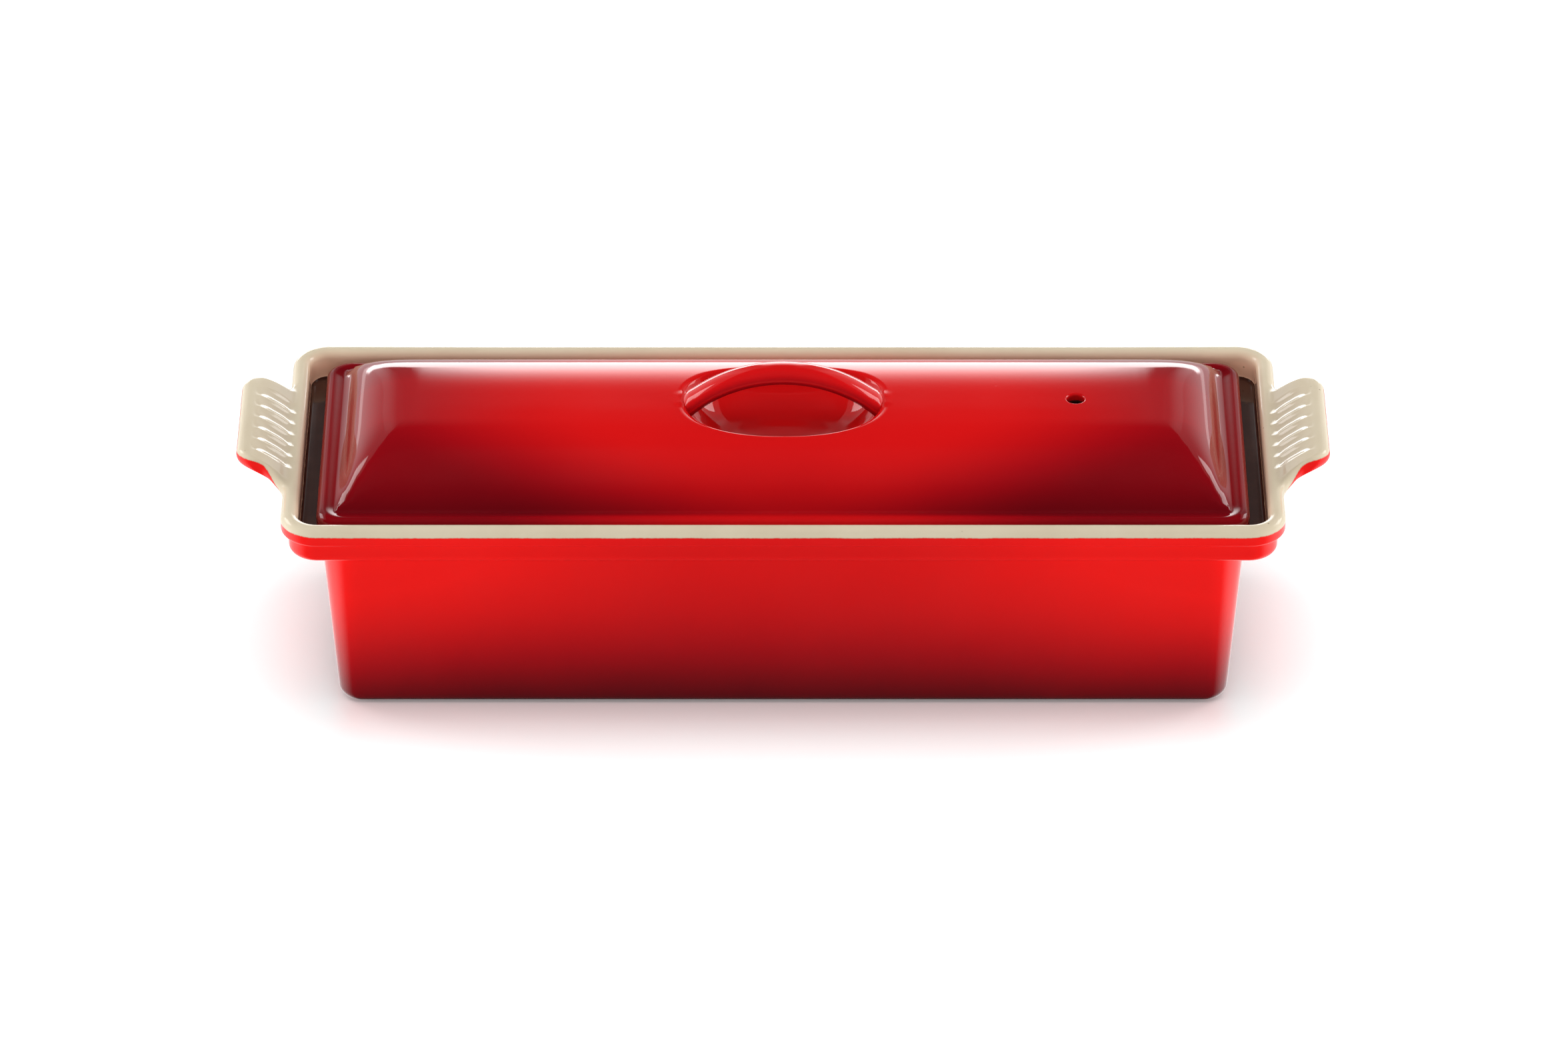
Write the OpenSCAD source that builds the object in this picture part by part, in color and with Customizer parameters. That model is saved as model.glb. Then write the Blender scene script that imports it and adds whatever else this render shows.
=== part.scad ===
// Enamelled cast-iron terrine dish with its lid. Millimetres, +Z up, +X along the dish.
// The origin is on the surface that the dish stands on, under the middle of the dish.

/* [Rim] */
// Length of the rim, without the tab handles
rim_l = 320; // [240:1:400]
// Width of the rim
rim_w = 116; // [100:1:170]
// Height of the rim's top above the surface that the dish stands on
rim_h = 76; // [60:1:110]
// Radius of the rim's corners, seen from above
rim_corner = 12; // [10:0.5:20]
// Thickness of the rim wall above the ledge
rim_wall = 6.3; // [5.4:0.1:8]
// Rounding of the rim's two top edges
rim_round = 2.6; // [1.5:0.1:2.6]
// Height of the upper band of the rim moulding
upper_band = 6.3; // [4.5:0.1:8]
// Height of the lower band of the rim moulding
lower_band = 7.4; // [5:0.1:9]
// How far the lower band is set in from the upper band
band_step = 2.4; // [1.2:0.1:3.2]
// Rounding of the lower band's bottom edge
band_round = 2.6; // [1.5:0.1:3.4]

/* [Ledge] */
// How far the ledge that carries the lid lies below the rim's top
ledge_drop = 9.8; // [8.6:0.1:12]
// Width of the ledge
ledge_w = 9.5; // [8:0.1:10.5]
// Rounding where the rim wall meets the ledge
ledge_fillet = 1.2; // [0.6:0.1:2]

/* [Body] */
// Overhang of the rim past the top of the body at each end
end_overhang = 12.1; // [10.5:0.1:13]
// Overhang of the rim past the top of the body at each side
side_overhang = 11.6; // [10.5:0.1:13]
// Taper of the body's walls from the vertical, in degrees
draft = 4.3; // [2:0.1:5]
// Radius of the body's upright corners under the rim
body_corner = 12; // [11.5:0.5:16]
// Rounding between the walls and the underside
foot_round = 4.5; // [3:0.5:6]
// Thickness of the floor
floor_t = 4.2; // [3.5:0.1:7]
// Radius of the cavity's upright corners at the ledge
cavity_corner = 15; // [14:0.5:20]
// Rounding between the cavity's walls and its floor
cavity_round = 8; // [4:0.5:9]

/* [Tab handles] */
// Reach of each tab past the rim
tab_reach = 15.2; // [12:0.1:22]
// Width of each tab
tab_w = 50; // [42:1:60]
// Thickness of each tab
tab_t = 5.4; // [4.4:0.1:6]
// How far the tab's lip rises above the rim
tab_rise = 7.8; // [4:0.1:10]
// Radius of the tab's outer corners
tab_corner = 6; // [4:0.5:10]
// Radius of the hollow curves that blend the tab's sides into the rim
tab_blend = 9; // [5:0.5:11]
// Number of flutes across each tab
flute_count = 6; // [4:1:7]
// Width of one flute
flute_pitch = 6.7; // [5:0.1:7]
// Depth of the flutes
flute_depth = 0.9; // [0.4:0.1:1.2]
// Plain stretch between the flutes and the tab's tip
tab_plain = 5; // [4:0.5:7]
// Length of the level lip at the tab's tip
tab_lip = 2.2; // [1:0.1:4]

/* [Lid] */
// Gap between the lid and the rim wall at each end
lid_end_gap = 4.9; // [2:0.1:5]
// Gap between the lid and the rim wall at each side
lid_side_gap = 1.8; // [1:0.1:3]
// Radius of the lid's corners, seen from above
lid_corner = 7.5; // [7:0.5:11]
// Height of the lid's edge bead above the ledge
bead_h = 8.3; // [7:0.1:11]
// Width of the edge bead, up to the valley behind it
bead_w = 6; // [5.6:0.1:7]
// Rounding of the bead
bead_round = 2.5; // [1.5:0.1:2.8]
// Depth of the valley between the bead and the crown
valley = 0.8; // [0.3:0.1:1.2]
// Height of the crown above the bead
crown_h = 15.6; // [11:0.1:20]
// Length of the slope at each end of the crown
end_slope = 30; // [24:1:40]
// How late the crown's sides fall away, as the power of the curve
side_power = 4; // [3:0.25:5]
// How late the crown's ends fall away, as the power of the curve
end_power = 4; // [3:0.25:5]
// Thickness of the lid's wall
lid_wall = 3.8; // [3.4:0.1:5]

/* [Finger well and bar] */
// Length of the finger well
well_l = 64; // [58:1:72]
// Width of the finger well
well_w = 42; // [36:1:46]
// Depth of the finger well below the crown
well_depth = 12.5; // [9:0.5:14]
// Height of the bar's top above the crown
bar_rise = 12.7; // [11:0.1:15]
// Radius of the bar's arch along its top
bar_arch = 47; // [44:1:52]
// Width of the bar
bar_w = 9.4; // [7:0.1:12]
// Thickness of the bar
bar_t = 4.4; // [3.8:0.1:5]

/* [Steam hole] */
// Distance of the steam hole from the middle of the lid
vent_x = 94; // [60:1:104]
// Diameter of the steam hole
vent_d = 5.6; // [4:0.1:8]
// Width of the chamfer round the mouth of the steam hole
vent_chamfer = 0.5; // [0.3:0.1:1]

/* [Hidden] */

// Facets of a full circle, of a rounded edge and of a corner seen from above
circle_n = 48;
edge_n = 6;
corner_n = 5;

// Overlap that makes a cut or a joined solid run past the face it meets
over = 1;

enamel_red = "#b5121b";

// Rim: the rectangle that its corner arcs are centred on, and the heights of its bands
rim_cx = rim_l / 2 - rim_corner;
rim_cy = rim_w / 2 - rim_corner;
step_z = rim_h - upper_band;
band_z = step_z - lower_band;
ledge_z = rim_h - ledge_drop;
recess_r = rim_corner - rim_wall;

// Body: half sizes under the rim, and the rectangle that its corner arcs are centred on
body_a = rim_l / 2 - end_overhang;
body_b = rim_w / 2 - side_overhang;
body_cx = body_a - body_corner;
body_cy = body_b - body_corner;

// Cavity: half sizes at the ledge
cavity_a = rim_l / 2 - rim_wall - ledge_w;
cavity_b = rim_w / 2 - rim_wall - ledge_w;
cavity_cx = cavity_a - cavity_corner;
cavity_cy = cavity_b - cavity_corner;

// Tab: where its top leaves the rim, where it is level, and how deep its root is sunk in the rim
tab_from = rim_l / 2 - rim_wall / 2;
tab_tip = rim_l / 2 + tab_reach;
tab_level = tab_tip - tab_lip;
tab_root = tab_from - rim_wall / 4;
tab_sink = rim_round / 2;

// Tab's edge: its rounding, the share of the thickness left flat there, and the flutes' distance from it
tab_edge = tab_t / 2;
tab_flat = 0.22;
flute_clear = 1.2 * tab_edge;

// Stations along the tab, and across each flute
tab_along = 12;
flute_steps = 4;

// Lid: half sizes of its edge and of the valley behind the bead, and its heights
lid_a = rim_l / 2 - rim_wall - lid_end_gap;
lid_b = rim_w / 2 - rim_wall - lid_side_gap;
bead_z = ledge_z + bead_h;
valley_z = bead_z - valley;
valley_a = lid_a - bead_w;
valley_b = lid_b - bead_w;
crown_z = bead_z + crown_h;

// Underside of the lid: how far its seat runs in behind the bead, its hollow's half sizes and height
seat_back = 0.8 * lid_wall;
hollow_a = valley_a - seat_back;
hollow_b = valley_b - seat_back;
hollow_z = crown_z - lid_wall;

// Points along the long and the short sides of each ring of the lid
long_n = 18;
short_n = 5;

// Bar: the height of its arch's centre, the angle that each end runs on into the lid, and half its span
bar_z = crown_z + bar_rise - bar_arch;
bar_bury = 4;
bar_span = acos((crown_z - bar_z - lid_wall / 2) / bar_arch) + bar_bury;

// A quarter of a rounded edge, as steps from one angle to another about a centre
function arc(c, r, from, to, n = edge_n) =
    [for (i = [0:n]) let (t = from + (to - from) * i / n) c + r * [cos(t), sin(t)]];

// Outer outline of the rim moulding, outwards from the corner centre, from the top down
function rim_profile() = concat(
    [[0, rim_h]],
    arc([rim_corner - rim_round, rim_h - rim_round], rim_round, 90, 0),
    [[rim_corner, step_z + band_step / 3], [rim_corner - band_step / 3, step_z],
     [rim_corner - band_step, step_z - band_step / 3]],
    arc([rim_corner - band_step - band_round, band_z + band_round], band_round, 0, -90),
    [[0, band_z]]);

// Half the body's upright section: a drafted wall down to the rounded foot
function body_profile() =
    let (foot = body_corner - band_z * tan(draft), c = foot_round)
    concat(
        [[0, band_z + over], [body_corner, band_z + over], [body_corner, band_z]],
        arc([foot - c * (1 - tan(draft)), c], c, -draft, -90),
        [[0, 0]]);

// The recess above the ledge: it flares over the rim's inner edge
function recess_profile() = concat(
    [[0, rim_h + over], [recess_r + rim_round, rim_h + over]],
    arc([recess_r + rim_round, rim_h - rim_round], rim_round, 90, 180),
    arc([recess_r - ledge_fillet, ledge_z + ledge_fillet], ledge_fillet, 0, -90, 3),
    [[0, ledge_z]]);

// The cavity: drafted walls down to its rounded floor corners
function cavity_profile() =
    let (deep = ledge_z - floor_t, foot = cavity_corner - deep * tan(draft), c = cavity_round)
    concat(
        [[0, ledge_z + over], [cavity_corner, ledge_z + over], [cavity_corner, ledge_z]],
        arc([foot - c * (1 - tan(draft)), floor_t + c], c, -draft, -90),
        [[0, floor_t]]);

// Sweeps a half section round a rectangle of corner centres: four quarter turns, two ends and the middle
module rounded_block(cx, cy, profile) {
    for (q = [[1, 1, 0], [-1, 1, 90], [-1, -1, 180], [1, -1, 270]])
        translate([q[0] * cx, q[1] * cy, 0]) rotate([0, 0, q[2]])
            rotate_extrude(angle = 90, $fn = circle_n) polygon(profile);
    for (s = [0, 180])
        rotate([0, 0, s]) translate([cx, cy, 0]) rotate([90, 0, 0])
            linear_extrude(2 * cy) polygon(profile);
    rotate([90, 0, 90]) translate([0, 0, -cx]) linear_extrude(2 * cx)
        polygon(concat([for (p = profile) if (p[0] > 0) [p[0] + cy, p[1]]],
                       [for (i = [len(profile) - 1:-1:0]) if (profile[i][0] > 0)
                           [-profile[i][0] - cy, profile[i][1]]]));
}

// Triangles between two rings of n points, whose first points have the numbers a and b
function band_faces(a, b, n) =
    [for (i = [0:n - 1], h = [0, 1]) let (j = (i + 1) % n)
        h == 0 ? [a + i, b + j, b + i] : [a + i, a + j, b + j]];

// A closed solid through a list of rings, closed at both ends by a middle point
module ring_solid(first, rings, last) {
    n = len(rings[0]);
    m = len(rings);
    polyhedron(
        points = concat([first], [for (r = rings) each r], [last]),
        faces = concat(
            [for (i = [0:n - 1]) [0, 1 + (i + 1) % n, 1 + i]],
            [for (k = [0:m - 2]) each band_faces(1 + k * n, 1 + (k + 1) * n, n)],
            [for (i = [0:n - 1]) [1 + m * n, 1 + (m - 1) * n + i, 1 + (m - 1) * n + (i + 1) % n]]));
}

// Half width of a tab at the distance x from the middle of the dish
function tab_half(x) =
    let (root = rim_l / 2, d = root + tab_blend - x, e = x - (tab_tip - tab_corner))
    tab_w / 2
    + (d > 0 ? tab_blend - sqrt(pow(tab_blend, 2) - pow(min(d, tab_blend), 2)) : 0)
    - (e > 0 ? tab_corner - sqrt(pow(tab_corner, 2) - pow(min(e, tab_corner), 2)) : 0);

// Height of the tab's top: it sweeps up out of the rim's rounded edge and levels off at the lip
function tab_top(x) =
    rim_h - tab_sink + (tab_rise + tab_sink)
        * sin(90 * min(1, max(0, (x - tab_from) / (tab_level - tab_from))));

// Depth of the scallops, which run out towards the lip
flute_half = flute_count * flute_pitch / 2;
function flute(x, y) =
    let (run = tab_tip - tab_plain - x)
    abs(y) < flute_half && run > 0
        ? flute_depth * min(1, run / tab_plain) * abs(sin(180 * (y + flute_half) / flute_pitch))
        : 0;

// Share of the full thickness at a distance d inside the tab's edge, down to a narrow flat
function edge_share(d) =
    max(tab_flat, d >= tab_edge ? 1 : sqrt(1 - pow(1 - max(d, 0) / tab_edge, 2)));

// Stations of the tab's rounded edge, as shares of it, and those across and along the tab
edge_steps = [0, 0.15, 0.5, 1];
function tab_across(x) =
    let (w = tab_half(x), f = min(flute_half, w - flute_clear), n = flute_count * flute_steps)
    concat([for (t = edge_steps) tab_edge * t - w],
           [for (i = [0:n]) f * (2 * i / n - 1)],
           [for (i = [3:-1:0]) w - tab_edge * edge_steps[i]]);
tab_stations = concat(
    [for (i = [0:tab_along]) tab_root + (tab_tip - tab_edge - tab_root) * i / tab_along],
    [for (i = [2:-1:0]) tab_tip - tab_edge * edge_steps[i]]);

// One point of a tab: side 1 is its top, side -1 its underside
function tab_point(x, y, side) =
    let (h = min(edge_share(tab_half(x) - abs(y)), edge_share(tab_tip - x)))
    [x, y, tab_top(x) - tab_t / 2 + side * h * tab_t / 2 - (side > 0 ? flute(x, y) * h : 0)];

// A curled tab handle with a fluted top, as rings round its section from the root to the tip
module tab() {
    rings = [for (x = tab_stations) let (across = tab_across(x)) concat(
        [for (y = across) tab_point(x, y, 1)],
        [for (i = [len(across) - 1:-1:0]) tab_point(x, across[i], -1)])];
    ring_solid([tab_root, 0, tab_top(tab_root) - tab_t / 2], rings,
               [tab_tip, 0, tab_top(tab_tip) - tab_t / 2]);
}

// The dish: body and rim moulding, hollowed out, with a tab at each end
module dish() {
    color(enamel_red) union() {
        difference() {
            union() {
                rounded_block(body_cx, body_cy, body_profile());
                rounded_block(rim_cx, rim_cy, rim_profile());
            }
            rounded_block(rim_cx, rim_cy, recess_profile());
            rounded_block(cavity_cx, cavity_cy, cavity_profile());
        }
        for (s = [0, 180]) rotate([0, 0, s]) tab();
    }
}

// One side of a ring, without its ends, and one rounded corner with them
function side_points(from, to, n) = [for (i = [1:n - 1]) from + (to - from) * i / n];
function corner_points(cx, cy, r, from) =
    [for (i = [0:corner_n]) let (t = from + 90 * i / corner_n) [cx + r * cos(t), cy + r * sin(t)]];

// A rounded rectangle with half sizes a and b, seen from above
function outline(a, b, r) = let (x = a - r, y = b - r) concat(
    corner_points(x, y, r, 0), side_points([x, b], [-x, b], long_n),
    corner_points(-x, y, r, 90), side_points([-a, y], [-a, -y], short_n),
    corner_points(-x, -y, r, 180), side_points([-x, -b], [x, -b], long_n),
    corner_points(x, -y, r, 270), side_points([a, -y], [a, y], short_n));

// The finger well's outline with half sizes a and b, point by point opposite the lid's outline
well_power = 2.4;
function well_ring(a, b) = [for (p = outline(valley_a, valley_b, lid_corner))
    let (t = atan2(p[1] / valley_b, p[0] / valley_a), c = cos(t), s = sin(t))
    [a * sign(c) * pow(abs(c), 2 / well_power), b * sign(s) * pow(abs(s), 2 / well_power)]];

// Share of a crown's height at a point, for half sizes a and b: 1 on top, 0 at the edge, with soft hips
hip = 3;
function crown_share(p, a, b, side_p, end_p) =
    let (s = 1 - pow(min(1, abs(p[1]) / b), side_p),
         e = 1 - pow(min(1, max(0, abs(p[0]) - a + end_slope) / end_slope), end_p))
    s * e == 0 ? 0 : s * e / pow(pow(s, hip) + pow(e, hip) - pow(s * e, hip), 1 / hip);

function crown(p) =
    valley_z + (crown_z - valley_z) * crown_share(p, valley_a, valley_b, side_power, end_power);
function hollow(p) =
    ledge_z + (hollow_z - ledge_z) * crown_share(p, hollow_a, hollow_b, side_power + 1, end_power + 1);

// Puts an outline at one height
function at(ring, z) = [for (p = ring) [p[0], p[1], z]];

// Rings of the well, from near its middle to its lip
function well_rings(a, b, floor_z, top) = [for (s = [0.25, 0.5, 0.7, 0.84, 0.94, 1])
    [for (p = well_ring(a, b)) let (q = s * p) [q[0], q[1], floor_z + (top(p) - floor_z) * pow(s, 3)]]];

// Rings from the well's lip out to the edge of the crown
function crown_rings(inner, outer, top, steps) = [for (t = steps)
    [for (i = [0:len(inner) - 1]) let (p = inner[i] * (1 - t) + outer[i] * t) [p[0], p[1], top(p)]]];

// The lid without its bar: well, crown, valley, bead, flat seat and hollow underside
module lid_shell() {
    well_z = crown_z - well_depth;
    lip = well_ring(well_l / 2, well_w / 2);
    bulge = well_ring(well_l / 2 + lid_wall, well_w / 2 + lid_wall);
    edge = outline(lid_a, lid_b, lid_corner);
    valley_edge = outline(valley_a, valley_b, lid_corner - bead_w / 2);
    hollow_edge = outline(hollow_a, hollow_b, lid_corner - bead_w / 2);
    bead = arc([0, bead_z - bead_round], bead_round, 90, 0, 4);
    top = concat(
        well_rings(well_l / 2, well_w / 2, well_z, function (p) crown(p)),
        crown_rings(lip, valley_edge, function (p) crown(p),
            [0.08, 0.2, 0.34, 0.5, 0.64, 0.76, 0.86, 0.93, 0.97]),
        [at(valley_edge, valley_z)],
        [for (b = concat([[-bead_round * 0.8, bead_z - valley / 3]], bead))
            at(outline(lid_a - bead_round + b[0], lid_b - bead_round + b[0],
                lid_corner - bead_round / 2), b[1])]);
    under = concat(
        [at(edge, ledge_z), at(hollow_edge, ledge_z)],
        crown_rings(hollow_edge, bulge, function (p) hollow(p), [0.06, 0.14, 0.26, 0.42, 0.64, 1]),
        [for (s = [0.94, 0.84, 0.7, 0.5, 0.25]) [for (p = bulge) let (q = s * p)
            [q[0], q[1], well_z - lid_wall + (hollow(p) - well_z + lid_wall) * pow(s, 3)]]]);
    ring_solid([0, 0, well_z], concat(top, under), [0, 0, well_z - lid_wall]);
}

// The bridge bar over the well: a rounded flat section, turned about the arch's centre
module bar() {
    h = bar_t / 2;
    side = bar_w / 2 - h;
    translate([0, 0, bar_z]) rotate([90, 0, 0]) rotate([0, 0, 90 - bar_span])
        rotate_extrude(angle = 2 * bar_span, $fn = 2 * circle_n)
            polygon(concat(arc([bar_arch - h, side], h, 180, 0), arc([bar_arch - h, -side], h, 0, -180)));
}

// The steam hole and the chamfer round its mouth
module vent() {
    translate([vent_x, 0, crown_z - 2 * lid_wall]) cylinder(d = vent_d, h = 3 * lid_wall, $fn = circle_n);
    translate([vent_x, 0, crown_z - vent_chamfer])
        cylinder(d1 = vent_d, d2 = vent_d + 4 * vent_chamfer, h = 2 * vent_chamfer, $fn = circle_n);
}

// The lid, resting on the ledge
module lid() {
    color(enamel_red) difference() {
        union() {
            lid_shell();
            bar();
        }
        vent();
    }
}

dish();
lid();
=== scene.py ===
from math import acos, atan2, cos, inf, pi, radians, sin, sqrt, tan

import bmesh
import bpy
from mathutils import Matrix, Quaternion, Vector


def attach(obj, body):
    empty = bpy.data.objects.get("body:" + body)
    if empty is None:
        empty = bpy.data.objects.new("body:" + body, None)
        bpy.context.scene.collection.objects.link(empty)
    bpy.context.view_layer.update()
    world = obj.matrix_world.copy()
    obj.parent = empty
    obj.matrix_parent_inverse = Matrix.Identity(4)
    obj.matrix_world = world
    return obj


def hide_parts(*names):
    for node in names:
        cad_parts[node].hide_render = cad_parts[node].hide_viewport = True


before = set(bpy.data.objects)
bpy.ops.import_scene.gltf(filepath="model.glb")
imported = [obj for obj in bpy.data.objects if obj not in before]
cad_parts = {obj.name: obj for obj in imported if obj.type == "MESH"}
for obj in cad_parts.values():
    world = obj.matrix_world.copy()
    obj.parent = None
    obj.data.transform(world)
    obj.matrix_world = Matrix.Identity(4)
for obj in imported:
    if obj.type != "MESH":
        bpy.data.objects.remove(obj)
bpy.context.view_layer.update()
print("frame loaded:", sorted(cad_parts))

mm = 0.001
mergeDistance = 0.002 * mm
scene = bpy.context.scene
scene.view_settings.view_transform = "Standard"

# The photograph's viewpoint, fitted to the rim's corners: places and sensor in mm, far clip in metres
cameraView = {
    "imageWidth": 2352, "focalPixels": 13931, "sensorWidth": 36, "clipEnd": 50,
    "place": (0.28, -2553.1, 1638.4), "lookAt": (0.28, 0, 43.04),
}


def addCamera(c):
    data = bpy.data.cameras.new("photoCamera")
    data.sensor_width = c["sensorWidth"]
    data.lens = c["focalPixels"] / c["imageWidth"] * c["sensorWidth"]
    data.clip_end = c["clipEnd"]
    camera = bpy.data.objects.new("photoCamera", data)
    scene.collection.objects.link(camera)
    place = Vector(c["place"]) * mm
    camera.location = place
    camera.rotation_euler = (Vector(c["lookAt"]) * mm - place).to_track_quat("-Z", "Y").to_euler()
    scene.camera = camera


addCamera(cameraView)
print("camera set")


def clamp(v, low=0.0, high=1.0):
    return max(low, min(high, v))


def ease(v):
    v = clamp(v)
    return v * v * (3 - 2 * v)


# The larger of two heights, rounded over k mm where they cross
def softMax(a, b, k):
    return max(a, b) + k / 4 * max(0, 1 - abs(a - b) / k) ** 2


def softMin(a, b, k):
    return -softMax(-a, -b, k)


def signedPower(v, power):
    return (1 if v > 0 else -1) * abs(v) ** power


def steps(start, end, count):
    return [start + (end - start) * i / count for i in range(count + 1)]


# Points of an arc in a section: its centre, its radius and its two angles in degrees
def arcPoints(r, z, radius, start, end, count):
    return [(r + radius * cos(radians(t)), z + radius * sin(radians(t))) for t in steps(start, end, count)]


# Length of the section up to each of its points
def runAlong(points):
    run = [0]
    for a, b in zip(points, points[1:]):
        run.append(run[-1] + (Vector(b) - Vector(a)).length)
    return run


# Each vertex carries three values in mm for the enamels: how far it lies past the line where they meet, how far
# inside the seat's dark coat, and the height that shades the red. The last number stands for far from both coats
enamelValues = ("pastLine", "inSeat", "shadeHeight")
farFromCoats = -30


# A closed skin: a grid whose columns go round the piece and whose rows follow its section. A point is x, y, z and
# the enamels' values. The many-sided faces that close it stay flat
def wrapGrid(name, columns):
    bm = bmesh.new()
    across, along = len(columns), len(columns[0])
    layers = [bm.verts.layers.float.new(a) for a in enamelValues]
    bmesh.ops.create_grid(bm, x_segments=across, y_segments=along - 1, size=1)
    order = sorted(bm.verts, key=lambda v: (round(v.co.x, 5), round(v.co.y, 5)))
    for i, vert in enumerate(order):
        point = columns[(i // along) % across][i % along]
        vert.co = Vector(point[:3]) * mm
        for layer, value in zip(layers, point[3:]):
            vert[layer] = value
    bmesh.ops.remove_doubles(bm, verts=bm.verts, dist=mergeDistance)
    edges = [e for e in bm.edges if e.is_boundary]
    if edges:
        bmesh.ops.holes_fill(bm, edges=edges, sides=0)
    bmesh.ops.recalc_face_normals(bm, faces=bm.faces)
    for face in bm.faces:
        face.smooth = len(face.verts) <= 4
    return addPiece(name, bm)


def addPiece(name, bm):
    mesh = bpy.data.meshes.new(name)
    bm.to_mesh(mesh)
    bm.free()
    piece = bpy.data.objects.new(name, mesh)
    scene.collection.objects.link(piece)
    return piece


# Stations round a rounded rectangle: share of the corner centres' rectangle, and the direction outwards
def roundStations(endCount, cornerCount, sideCount):
    quarter = [(1, t, 1, 0) for t in steps(0, 1, endCount)[:-1]]
    quarter += [(1, 1, cos(radians(a)), sin(radians(a))) for a in steps(0, 90, cornerCount)]
    quarter += [(t, 1, 0, 1) for t in steps(1, 0, sideCount)[1:]]
    return allRound(quarter)


# The other three quarters, mirrored from the first one
def allRound(quarter):
    def turned(station, sx, sy):
        return tuple(v * (sx, sy)[i % 2] for i, v in enumerate(station))
    left = [turned(s, -1, 1) for s in reversed(quarter[:-1])]
    half = quarter + left
    return half + [turned(s, 1, -1) for s in reversed(half[1:-1])]


# The dish, in mm and degrees, with the numbers of its stations round the rim
dishSizes = {
    "rimLength": 320, "rimWidth": 116, "rimHeight": 76, "rimCorner": 12, "rimWall": 5.7, "rimRound": 2.6,
    "stepZ": 69.7, "stepDrop": 2.0, "stepRound": 1.2, "stepFillet": 1.0,
    "bandStep": 2.4, "bandZ": 62.3, "bandRound": 2.6, "bandLead": 1.2,
    "ledgeZ": 66.2, "ledgeFillet": 1.2, "ledgeEdge": 0.9,
    "bodyRect": (135.9, 34.4), "bodyCorner": 12, "draft": 4.3, "footRound": 4.5, "neckFillet": 1.4, "baseShare": 0.3,
    "cavityRect": (129.2, 27.2), "cavityCorner": 15, "cavityRound": 8, "floorZ": 4.2, "floorShare": 0.4,
    "tabTip": 175.2, "tabHalf": 25, "tabCorner": 6, "tabBlend": 9, "tabLevel": 173, "tabRise": 7.8,
    "tabSink": 1.3, "tabEdge": 2.7, "tabLine": 1.2, "tabSoft": 1.2, "tabEase": 7, "underFall": 1.3,
    "fluteCount": 6, "flutePitch": 6.7, "fluteDepth": 0.9, "flutePlain": 5, "fluteStart": 156.4, "fluteEase": 4.5,
    "fluteSteps": 14, "tabCornerSteps": 12, "tabBlendSteps": 14, "endSteps": 6, "cornerSteps": 20, "sideSteps": 24,
}


# Stations of the dish carry two more values: the tab's outline point that they run out to. Past the flutes the inner
# points follow a curve that leaves and arrives as fast as the outline does
def dishStations(d):
    rectX, rectY = d["rimLength"] / 2 - d["rimCorner"], d["rimWidth"] / 2 - d["rimCorner"]
    rimX = d["rimLength"] / 2
    tip, half, corner, blend = d["tabTip"], d["tabHalf"], d["tabCorner"], d["tabBlend"]
    straight = d["fluteCount"] * d["flutePitch"] / 2

    def edgeX(y):
        return tip - corner + sqrt(corner ** 2 - max(0, y - half + corner) ** 2)

    plan = [(y, edgeX(y), y) for y in steps(0, straight, d["fluteCount"] // 2 * d["fluteSteps"])]
    start = (straight - half + corner) / corner
    outline = [(tip - corner + corner * cos(a), half - corner + corner * sin(a))
               for a in steps(acos(sqrt(1 - start ** 2)), pi / 2, d["tabCornerSteps"])[1:]]
    outline += [(rimX + blend - blend * sin(a), half + blend - blend * cos(a))
                for a in steps(0, pi / 2, d["tabBlendSteps"])]
    lengths = runAlong([plan[-1][1:]] + outline)
    whole, rise = lengths[-1], half + blend - straight
    for length, (x, y) in zip(lengths[1:], outline):
        t = length / whole
        inner = straight + rise * (3 * t * t - 2 * t ** 3) + whole * (2 * t ** 3 - 3 * t * t + t)
        plan.append((inner, x, y))
    plan += [(y, rimX, y) for y in steps(half + blend, rectY, d["endSteps"])[1:-1]]
    quarter = [(1, y / rectY, 1, 0, x, outerY) for y, x, outerY in plan]
    for a in steps(0, 90, d["cornerSteps"]):
        c, s = cos(radians(a)), sin(radians(a))
        quarter.append((1, 1, c, s, rectX + d["rimCorner"] * c, rectY + d["rimCorner"] * s))
    quarter += [(t, 1, 0, 1, t * rectX, rectY + d["rimCorner"]) for t in steps(1, 0, d["sideSteps"])[1:]]
    return allRound(quarter)


# Height of the tab's top above the table, and the depth of the scallops in it
def tabTop(d, x):
    rimZ, start = d["rimHeight"], d["rimLength"] / 2 - d["rimWall"] / 2
    climb = clamp((x - start) / (d["tabLevel"] - start))
    curl = rimZ - d["tabSink"] + (d["tabRise"] + d["tabSink"]) * sin(pi / 2 * climb)
    return softMax(rimZ, curl, d["tabSoft"])


def scallop(d, x, y):
    half = d["fluteCount"] * d["flutePitch"] / 2
    run = d["tabTip"] - d["flutePlain"] - abs(x)
    if abs(y) >= half or run <= 0:
        return 0
    fade = min(1, run / d["flutePlain"]) * ease((abs(x) - d["fluteStart"]) / d["fluteEase"])
    return d["fluteDepth"] * fade * abs(sin(pi * (y + half) / d["flutePitch"]))


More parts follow.
